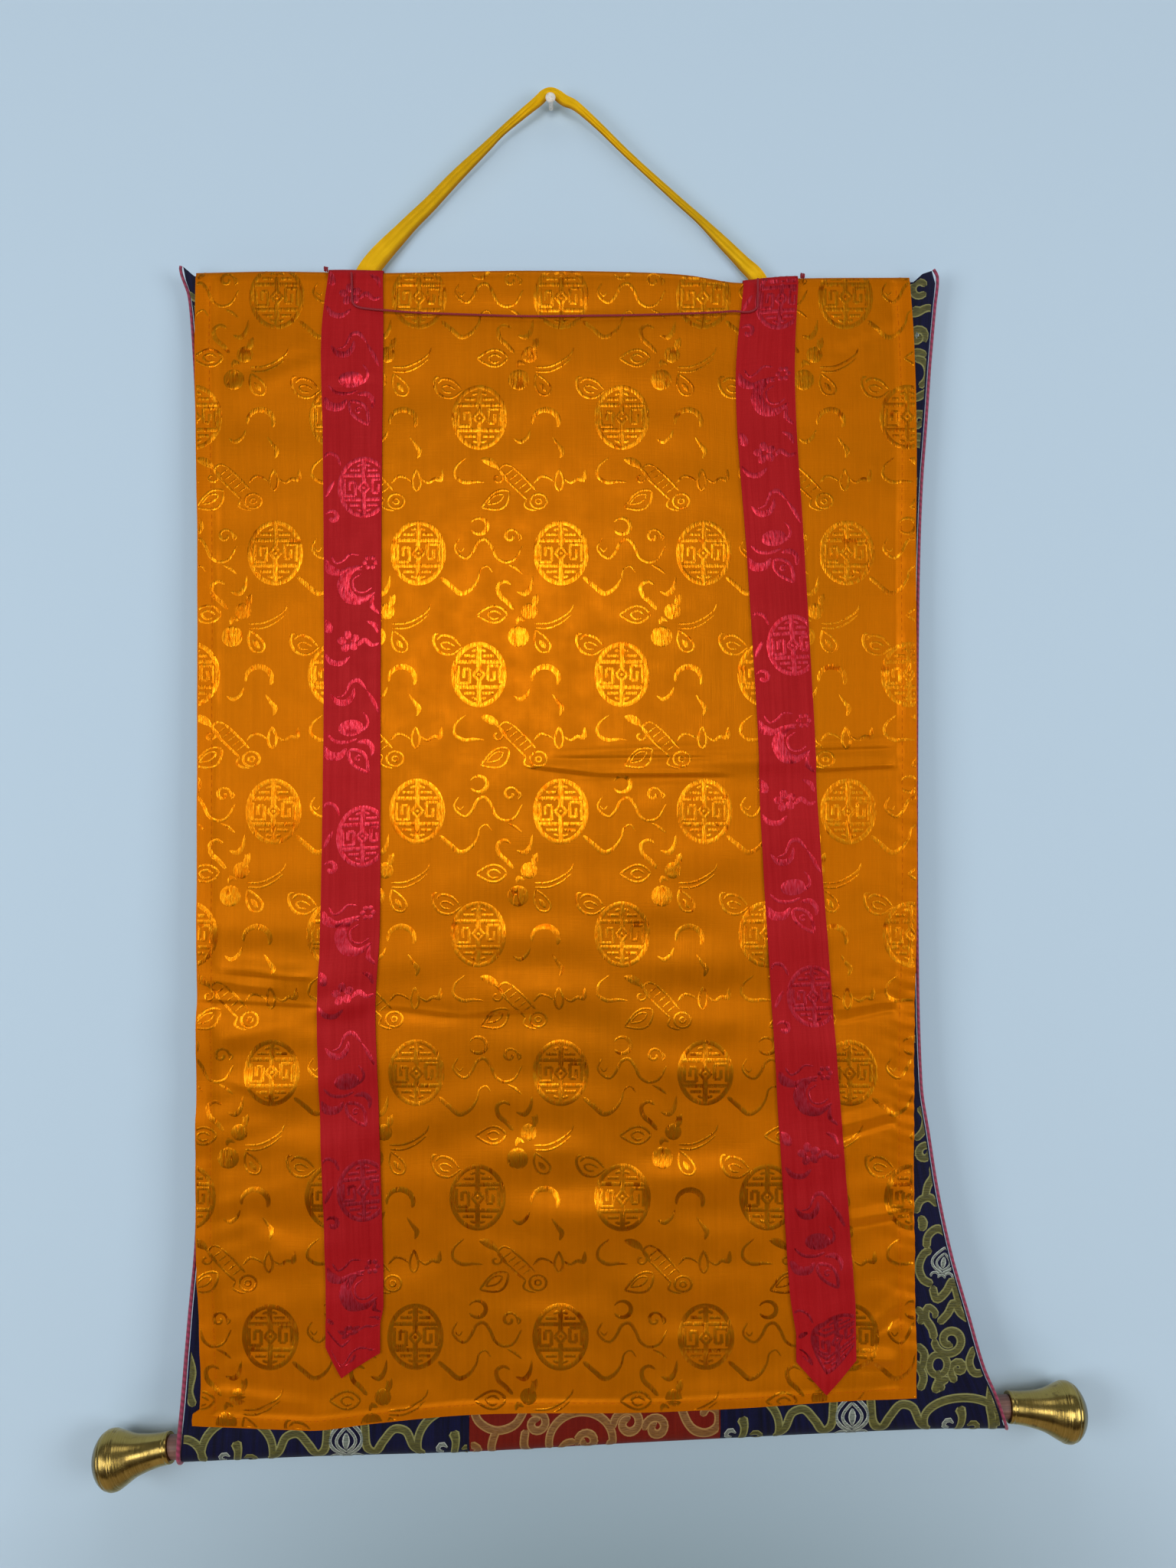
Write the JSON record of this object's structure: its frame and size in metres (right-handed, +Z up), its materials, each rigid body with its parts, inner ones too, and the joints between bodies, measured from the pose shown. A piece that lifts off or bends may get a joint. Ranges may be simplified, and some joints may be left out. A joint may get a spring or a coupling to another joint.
{
  "type": "thangka scroll painting with wall nail",
  "caption": "Hanging scroll painting in a navy brocade mount with its orange silk veil let down, red ribbons, a brass-knobbed rod and a ribbon loop on a wall nail",
  "frame": {"origin": "centre of the nail's flat back end, on the wall", "axes": "+X to the right seen from the front, +Y into the wall, +Z up"},
  "size_m": [0.644, 0.0384, 0.9168],
  "materials": {
    "navy_brocade": "navy silk brocade with olive-gold scrolling clouds and silver-white buds, satin sheen",
    "red_brocade": "brick red silk brocade with tan-gold spirals, satin sheen",
    "crimson_piping": "crimson cloth edging, slight sheen",
    "orange_silk": "thin orange silk damask, soft sheen, woven tone on tone",
    "red_silk": "deep red silk damask, pinkish sheen",
    "gold_ribbon": "golden yellow satin ribbon",
    "crimson_thread": "matt twisted crimson thread",
    "wood": "mauve-brown wood, satin",
    "brass": "turned brass, satin, a little tarnished",
    "painted_head": "off-white enamel, satin"
  },
  "bodies": {
    "root": {"brocade_mount": "navy_brocade", "door_panel": "red_brocade", "piping_left": "crimson_piping", "piping_right": "crimson_piping", "veil": "orange_silk", "ribbon_left": "red_silk", "ribbon_right": "red_silk", "hanging_loop": "gold_ribbon", "crimson_string": "crimson_thread", "knot_left": "crimson_thread", "knot_right": "crimson_thread", "rod": "wood", "knob_left": "brass", "knob_right": "brass", "wall_nail": "painted_head"}
  },
  "joints": []
}
